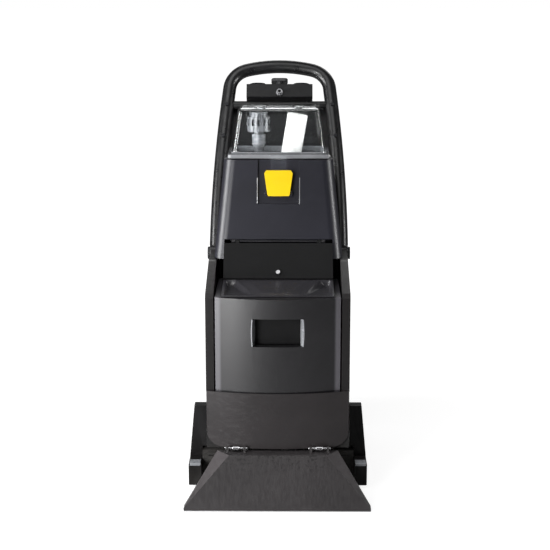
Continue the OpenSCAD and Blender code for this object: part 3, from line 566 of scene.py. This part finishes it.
def dome_rings():
    """From the inside of the roof, down the inner wall, round the flange and up the outer wall."""
    base_z, flange_z, shoulder_z, top_z = 0.8652, 0.8752, 0.988, 1.002
    thick = 0.003

    def wall(z, inset):
        t = (z - flange_z) / (shoulder_z - flange_z)
        half = 0.133 - 0.016 * t - inset
        return rounded_box(-half, half, 0.006 + 0.024 * t + inset, 0.150 - 0.002 * t - inset, 0.016 - inset, z)

    def roof(inset, r):
        """The round shoulder between the wall and the roof, as rings."""
        rings = []
        for k in range(1, 6):
            a = math.radians(18 * k)
            move = r * (1 - math.cos(a)) + inset
            z = shoulder_z + (top_z - inset - shoulder_z) * math.sin(a)
            rings.append(rounded_box(
                -0.117 + move, 0.117 - move, 0.030 + move, 0.148 - move, max(0.016 - move, 0.002), z
            ))
        return rings

    outer = [wall(flange_z + 0.0008, 0.0), wall(0.92, 0.0), wall(shoulder_z, 0.0)] + roof(0.0, 0.014)
    inner = [wall(base_z, thick), wall(0.92, thick), wall(shoulder_z, thick)] + roof(thick, 0.011)
    flange = [
        rounded_box(-0.1402, 0.1402, -0.0012, 0.1592, 0.008, base_z),
        rounded_box(-0.141, 0.141, -0.002, 0.160, 0.008, base_z + 0.0008),
        rounded_box(-0.141, 0.141, -0.002, 0.160, 0.008, flange_z - 0.0008),
        rounded_box(-0.1402, 0.1402, -0.0012, 0.1592, 0.008, flange_z),
        rounded_box(-0.1338, 0.1338, 0.0052, 0.1508, 0.016, flange_z),
    ]
    return inner[::-1] + flange + outer


def box_hump(side):
    """A round shoulder on the control box, over one end of it."""
    rings = []
    for x, tall in ((0.040, 0.0), (0.044, 0.6), (0.050, 0.9), (0.060, 1.0), (0.072, 1.0), (0.082, 0.85),
                    (0.089, 0.5), (0.092, 0.0)):
        up = 0.0005 + 0.0098 * tall
        outline = [(0.528, -0.016), (0.528, 0.026), (0.5395, 0.026), (0.5395 + up * 0.7, 0.024),
                   (0.5395 + up, 0.017), (0.5395 + up, -0.001), (0.5395 + up * 0.6, -0.008), (0.5350, -0.013)]
        rings.append([on_handle(side * x, s, n) for s, n in outline])
    return loft(rings)


piece("box_humps", "handle", "black_console", *join(box_hump(-1), box_hump(1)), angle=60)


def roof_boss(x, y, r):
    outline = rounded([(1.0021, 0.0001), (1.0021, r), (1.0060, r * 0.9), (1.0060, 0.0001)], 0.0015)
    return turned(outline, y, 0, 48, "Z", x)


piece("clear_cover", "dome", "clear_dome", *loft(dome_rings()), replaces=["recovery_dome"])
piece("cover_bosses", "dome", "clear_dome", *join(roof_boss(-0.052, 0.060, 0.020), roof_boss(0.056, 0.060, 0.017)))


def across(outline, x0, x1):
    """An outline of (y, z) points carried across the machine."""
    return loft([[(x, y, z) for y, z in outline] for x in (x0, x1)])


tongue = [(-0.0218, 0.8293), (-0.0158, 0.8293), (-0.0132, 0.8380), (-0.0132, 0.8655), (0.0, 0.8655),
          (0.0, 0.8748), (-0.0157, 0.8748), (-0.0157, 0.8430), (-0.0182, 0.8327), (-0.0218, 0.8327)]
ear = rounded([(0.1560, 0.8662), (0.1735, 0.8662), (0.1735, 0.8775), (0.1640, 0.8775), (0.1560, 0.8752)], 0.0045)
band = [
    rounded_box(-0.1305, 0.1305, 0.0085, 0.1475, 0.014, 0.8656),
    rounded_box(-0.1418, 0.1418, -0.0028, 0.1608, 0.009, 0.8656),
    rounded_box(-0.1424, 0.1424, -0.0034, 0.1614, 0.009, 0.8664),
    rounded_box(-0.1424, 0.1424, -0.0034, 0.1614, 0.009, 0.8748),
    rounded_box(-0.1412, 0.1412, -0.0022, 0.1602, 0.009, 0.8762),
    rounded_box(-0.1352, 0.1352, 0.0040, 0.1522, 0.016, 0.8766),
    rounded_box(-0.1344, 0.1344, 0.0050, 0.1514, 0.016, 0.8780),
    rounded_box(-0.1338, 0.1338, 0.0060, 0.1508, 0.016, 0.8812),
    rounded_box(-0.1305, 0.1305, 0.0085, 0.1475, 0.014, 0.8818),
]
piece("cover_band", "dome", "grey_plastic", *loft(band, closed=True))
piece("cover_tongue", "dome", "clear_dome", *across(tongue, -0.022, 0.022))
piece("cover_ears", "dome", "clear_dome", *join(across(ear, 0.038, 0.049), across(ear, -0.049, -0.038)))

# ---------------------------------------------------------------- tank front and filler tray

TANK_Y0, TANK_Z0, TANK_SLOPE = -0.105, 0.6, 0.3626
TANK_HALF, TANK_BULGE, POCKET_HALF, POCKET_Z, POCKET_TALL = 0.167, 0.030, 0.068, (0.407, 0.483), 0.076


def tank_front(x):
    """Y of the bulging tank front at a place across the machine."""
    radius = TANK_HALF ** 2 / (2 * TANK_BULGE) + TANK_BULGE / 2
    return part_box("solution_tank")[0].y + radius - math.sqrt(radius ** 2 - x ** 2)


def pocket_cheek_highlight(side):
    """A slanted cheek at one end of the grip pocket, in pale plastic as a painted highlight."""
    rings = []
    for k in range(13):
        z = POCKET_Z[0] + 0.001 + (POCKET_TALL - 0.002) * k / 12
        swell = 0.0020 * math.sin(math.pi * k / 12)
        x_in, x_out = POCKET_HALF - 0.0070 - swell * 0.3, POCKET_HALF + 0.0008 + swell
        rings.append([
            (side * x_out, tank_front(x_out) - 0.0010, z),
            (side * (x_out - 0.002), tank_front(x_out) - 0.0016, z),
            (side * x_in, tank_front(x_in) + 0.0150, z),
            (side * x_in, tank_front(x_in) + 0.0170, z),
            (side * (POCKET_HALF - 0.0002), tank_front(x_in) + 0.0170, z),
            (side * (POCKET_HALF - 0.0002), tank_front(x_out) - 0.0002, z),
            (side * x_out, tank_front(x_out) + 0.0004, z),
        ])
    return loft(rings)


def pocket_shade_liner():
    """A thin dark skin over the pocket's back, roof and floor: painted shade inside the pocket."""
    y0, y1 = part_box("solution_tank")[0].y + 0.0185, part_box("solution_tank")[0].y + 0.0337
    low, high = POCKET_Z[0] + 0.0003, POCKET_Z[1] - 0.0003
    side = [(y0, low), (y0, low + 0.0008), (y1 - 0.0008, low + 0.0008), (y1 - 0.0008, high - 0.0008),
            (y0, high - 0.0008), (y0, high), (y1, high), (y1, low)]
    return loft([[(x, y, z) for y, z in side] for x in (-POCKET_HALF + 0.0085, POCKET_HALF - 0.0085)])


# a dark sheet as painted shade inside the grip pocket
piece("pocket_shade_liner", "base", "black_door", *pocket_shade_liner())
# pale cheeks as painted highlights at the ends of the grip pocket
piece("grip_cheek_highlights", "base", "grey_plastic", *join(pocket_cheek_highlight(-1), pocket_cheek_highlight(1)), angle=50)


def smooth_step(t):
    t = max(0.0, min(1.0, t))
    return t * t * (3 - 2 * t)


def tray_height(x, y, low, high):
    """The tray slopes up to the door; a hollow lies on each side of a chute that widens upwards."""
    t = (y - low.y) / (high.y - low.y)
    deck = 0.5412 + 0.0146 * t
    chute = 0.060 + 0.052 * t
    hollow = smooth_step((abs(x) - chute) / 0.020) * smooth_step((0.143 - abs(x)) / 0.006)
    hollow *= smooth_step(t / 0.10) * smooth_step((1 - t) / 0.05)
    crown = 0.0022 * smooth_step((chute - abs(x)) / 0.03) * smooth_step(t / 0.1) * smooth_step((1 - t) / 0.1)
    return deck - (deck - 0.5395) * hollow * 0.96 + crown


def filler_tray():
    """A closed height field: the shaped top, four walls and a flat underside."""
    low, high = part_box("fill_funnel")
    nx, ny = 121, 61
    xs = [low.x + 0.0004 + (high.x - low.x - 0.0008) * i / (nx - 1) for i in range(nx)]
    ys = [low.y + 0.0004 + (high.y - low.y - 0.0008) * j / (ny - 1) for j in range(ny)]
    top = [(x, y, tray_height(x, y, low, high)) for y in ys for x in xs]
    verts = top + [(x, y, low.z) for x, y, _ in top]
    under = len(top)
    faces = []
    for j in range(ny - 1):
        for i in range(nx - 1):
            a = j * nx + i
            faces.append((a, a + 1, a + nx + 1, a + nx))
            faces.append((under + a, under + a + nx, under + a + nx + 1, under + a + 1))
    edge = [*range(nx), *range(2 * nx - 1, ny * nx, nx), *range(ny * nx - 2, (ny - 1) * nx - 1, -1),
            *range((ny - 2) * nx, 0, -nx)]
    for a, b in zip(edge, edge[1:] + edge[:1]):
        faces.append((a, under + a, under + b, b))
    return verts, faces


piece("filler_tray", "base", "black_funnel", *filler_tray(), replaces=["fill_funnel"], angle=40)

# ---------------------------------------------------------------- edges and small plates; pale strips are painted highlights


def corner_skirt(side):
    """A dark plate behind the bumper's round lower corner."""
    ring = [(side * x, -0.2950, z) for x, z in ((0.150, 0.119), (0.1925, 0.119), (0.1925, 0.165), (0.150, 0.165))]
    return loft([ring, [(x, -0.2918, z) for x, _, z in ring]])


piece("corner_skirts", "base", "black_deck", *join(corner_skirt(-1), corner_skirt(1)))


def recess_rim_highlight(side):
    """The round edge at one side of the recess around the latch, in pale plastic as a painted highlight."""
    rings = []
    for z in (0.7462, 0.7475, 0.790, 0.815):
        y = TANK_Y0 + (z - TANK_Z0) * TANK_SLOPE
        thin = 0.0003 if z in (0.7462, 0.815) else 0.0007
        rings.append([(side * x, y + d, z) for x, d in (
            (0.0577, 0.0020), (0.0577, 0.0), (0.0583, -thin), (0.0592, -thin), (0.0600, 0.0), (0.0600, 0.0020))])
    return loft(rings)


# A pale strip along the ledge on the front of each end cover: a painted highlight.
ledge_highlight = [(-0.2905, 0.0640), (-0.2905, 0.0698), (-0.2894, 0.0707), (-0.2600, 0.0707), (-0.2600, 0.0696),
         (-0.2886, 0.0696), (-0.2896, 0.0688), (-0.2896, 0.0640)]
# pale rims as painted highlights beside the latch recess
piece("recess_rim_highlights", "recovery_tank", "grey_plastic", *join(recess_rim_highlight(-1), recess_rim_highlight(1)))
piece("cover_ledge_highlights", "brush_deck", "float_grey",
      *join(across(ledge_highlight, 0.2112, 0.2400), across(ledge_highlight, -0.2400, -0.2112)))

# ---------------------------------------------------------------- wheels

WHEEL_Y, WHEEL_R = 0.275, 0.125


def tyre_outline(x0, x1):
    """A tyre's section: rounded shoulders and five grooves round the tread."""
    tread = []
    grooves = 5
    pitch = (x1 - x0 - 0.008) / grooves
    for g in range(grooves):
        u = x0 + 0.004 + pitch * g
        tread += [(u, WHEEL_R), (u + pitch * 0.62, WHEEL_R), (u + pitch * 0.70, WHEEL_R - 0.0028),
                  (u + pitch * 0.92, WHEEL_R - 0.0028)]
    inner = WHEEL_R - 0.030
    return rounded([(x0, inner), (x0, WHEEL_R - 0.008), *tread, (x1 - 0.004, WHEEL_R),
                    (x1, WHEEL_R - 0.008), (x1, inner)], 0.0012, 2)


for side, (x0, x1) in (("left", (-0.200, -0.165)), ("right", (0.165, 0.200))):
    piece(f"{side}_tread", f"{side}_wheel", "tyre_rubber",
          *turned(tyre_outline(x0, x1), WHEEL_Y, WHEEL_R, 120), replaces=[f"{side}_tyre"])

# ---------------------------------------------------------------- drain hose


def ribbed_hose():
    """A hose that leaves the tank, turns down and hangs in its clip: cuffs at the ends, ribs between."""
    x, port_z, drop_y, bend_r = -0.090, 0.640, 0.362, 0.045
    pitch, cuff, step = 0.0065, 0.030, 0.0010
    start_y, end_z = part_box("drain_hose")[0].y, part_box("drain_hose")[0].z
    straight = drop_y - bend_r - start_y
    quarter = bend_r * math.pi / 2
    total = straight + quarter + port_z - bend_r - end_z
    path, radii = [], []
    count = int(total / step)
    for i in range(count + 1):
        d = total * i / count
        if d < straight:
            path.append(Vector((x, start_y + d, port_z)))
        elif d < straight + quarter:
            a = (d - straight) / bend_r
            path.append(Vector((x, drop_y - bend_r + bend_r * math.sin(a), port_z - bend_r + bend_r * math.cos(a))))
        else:
            path.append(Vector((x, drop_y, port_z - bend_r - (d - straight - quarter))))
        ribs = smooth_step((d - cuff) / 0.004) * smooth_step((total - cuff * 1.6 - d) / 0.004)
        radii.append(0.0188 - ribs * 0.0011 * (1 - math.cos(2 * math.pi * d / pitch)))
    bore = tube(path, 0.0162, 36)
    return loft(tube(path, radii, 36) + bore[::-1], closed=True)


piece("ribbed_drain_hose", "recovery_tank", "hose_black", *ribbed_hose(), replaces=["drain_hose"], angle=80)

# ---------------------------------------------------------------- brush

BRUSH_Y, BRUSH_Z, CORE_R, BRUSH_R, BRUSH_HALF = -0.195, 0.043, 0.0235, 0.042, 0.195


def tufts():
    """Nylon tufts in helical rows, each flaring a little outwards."""
    rows, columns, twist = 16, 42, 2.4
    shells = []
    for row in range(rows):
        for column in range(columns):
            wobble = math.sin(row * 12.9898 + column * 78.233) * 0.5
            x = -BRUSH_HALF + 2 * BRUSH_HALF * (column + 0.5 + wobble * 0.3) / columns
            a = 2 * math.pi * (row + twist * column / columns + wobble * 0.06) / rows
            out = Vector((0.0, math.cos(a), math.sin(a)))
            round_it = Vector((0.0, -math.sin(a), math.cos(a)))
            rings = []
            for r, spread in ((CORE_R, 0.0019), (0.034, 0.0026), (BRUSH_R - 0.0008 + wobble * 0.001, 0.0038)):
                centre = Vector((x, BRUSH_Y, BRUSH_Z)) + out * r
                rings.append([
                    centre + Vector((spread * 1.2 * math.cos(t), 0, 0)) + round_it * spread * math.sin(t)
                    for t in (2 * math.pi * k / 6 for k in range(6))
                ])
            shells.append(loft([[Vector((p.x, p.y, p.z)) for p in ring] for ring in rings]))
    return join(*shells)


piece("brush_tufts", "brush", "bristle_blue", *tufts(), replaces=["brush_bristles"], angle=60)

# ---------------------------------------------------------------- camera, light, stage

AIM = Vector((0.0, 0.04, 0.5))
ELEVATION = math.radians(13.0)
YAW = math.radians(0.44)
DISTANCE = 4.0
SENSOR = 36.0
FOCAL_SHARE = 2.52182  # focal length over the width of the picture
SHIFT_X, SHIFT_Y = -0.00673, 0.01364

camera = bpy.data.objects.new("camera", bpy.data.cameras.new("camera"))
bpy.context.scene.collection.objects.link(camera)
back = Vector((
    math.sin(YAW) * math.cos(ELEVATION), -math.cos(YAW) * math.cos(ELEVATION), math.sin(ELEVATION)
))
camera.location = AIM + back * DISTANCE
camera.rotation_mode = "QUATERNION"
camera.rotation_quaternion = (-back).to_track_quat("-Z", "Y")
camera.data.sensor_width = SENSOR
camera.data.lens = SENSOR * FOCAL_SHARE
camera.data.shift_x = SHIFT_X
camera.data.shift_y = SHIFT_Y
bpy.context.scene.camera = camera
bpy.context.scene.view_settings.view_transform = "Standard"


def area_light(name, place, aim, width, height, power):
    data = bpy.data.lights.new(name, "AREA")
    data.shape = "RECTANGLE"
    data.size = width
    data.size_y = height
    data.energy = power
    lamp = bpy.data.objects.new(name, data)
    lamp.location = place
    lamp.rotation_mode = "QUATERNION"
    lamp.rotation_quaternion = (Vector(aim) - Vector(place)).to_track_quat("-Z", "Y")
    bpy.context.scene.collection.objects.link(lamp)


area_light("key", (-1.7, -2.5, 1.75), (0, -0.1, 0.5), 1.0, 1.5, 42)
area_light("low_key", (-1.45, -2.3, 0.55), (0, -0.3, 0.45), 0.9, 1.0, 60)
area_light("top", (-0.4, -0.6, 3.0), (0, 0, 0.6), 1.6, 1.2, 14)
area_light("left_strip", (-2.3, -0.55, 1.15), (0, 0, 0.6), 0.95, 2.2, 100)
area_light("right_strip", (2.3, -0.3, 1.0), (0, 0, 0.5), 0.22, 2.2, 44)
area_light("rim", (0.4, 2.6, 2.4), (0, 0, 0.6), 2.4, 1.2, 22)

world = bpy.data.worlds.new("studio")
bpy.context.scene.world = world
world.use_nodes = True
wt = world.node_tree
wt.nodes.clear()
w_out = wt.nodes.new("ShaderNodeOutputWorld")
w_mix = wt.nodes.new("ShaderNodeMixShader")
w_path = wt.nodes.new("ShaderNodeLightPath")
w_soft = wt.nodes.new("ShaderNodeBackground")
w_white = wt.nodes.new("ShaderNodeBackground")
w_soft.inputs["Color"].default_value = (1, 1, 1, 1)
w_soft.inputs["Strength"].default_value = 0.06
w_white.inputs["Color"].default_value = (1, 1, 1, 1)
w_white.inputs["Strength"].default_value = 1.0
wt.links.new(w_path.outputs["Is Camera Ray"], w_mix.inputs[0])
wt.links.new(w_soft.outputs[0], w_mix.inputs[1])
wt.links.new(w_white.outputs[0], w_mix.inputs[2])
wt.links.new(w_mix.outputs[0], w_out.inputs[0])

floor_mesh = bpy.data.meshes.new("floor")
floor_mesh.from_pydata([(-40, -40, 0), (40, -40, 0), (40, 40, 0), (-40, 40, 0)], [], [(0, 1, 2, 3)])
floor = bpy.data.objects.new("floor", floor_mesh)
bpy.context.scene.collection.objects.link(floor)
# White to the camera, with the part's shadow on it, and a dimmer white to everything else
floor_paint = Shader("floor_paint")
floor_paint.link(
    floor_paint.mix(floor_paint.noise(1.5), (0.34, 0.34, 0.34), (0.36, 0.36, 0.36)),
    floor_paint.bsdf.inputs["Base Color"],
)
floor_paint.set("Roughness", 0.8)
floor_paint.set("Specular IOR Level", 0.0)
path = floor_paint.tree.nodes.new("ShaderNodeLightPath")
reach = floor_paint.tree.nodes.new("ShaderNodeVectorMath")
reach.operation = "LENGTH"
floor_paint.link(floor_paint.place, reach.inputs[0])
glow = floor_paint.tree.nodes.new("ShaderNodeEmission")
lit = floor_paint.spread(reach.outputs["Value"], 0.7, 2.4, 0.78, 1.03)
floor_paint.link(floor_paint.times(lit, path.outputs["Is Camera Ray"]), glow.inputs["Strength"])
add = floor_paint.tree.nodes.new("ShaderNodeAddShader")
floor_paint.link(floor_paint.bsdf.outputs[0], add.inputs[0])
floor_paint.link(glow.outputs[0], add.inputs[1])
floor_paint.link(add.outputs[0], floor_paint.out.inputs[0])
floor.data.materials.append(floor_paint.material)
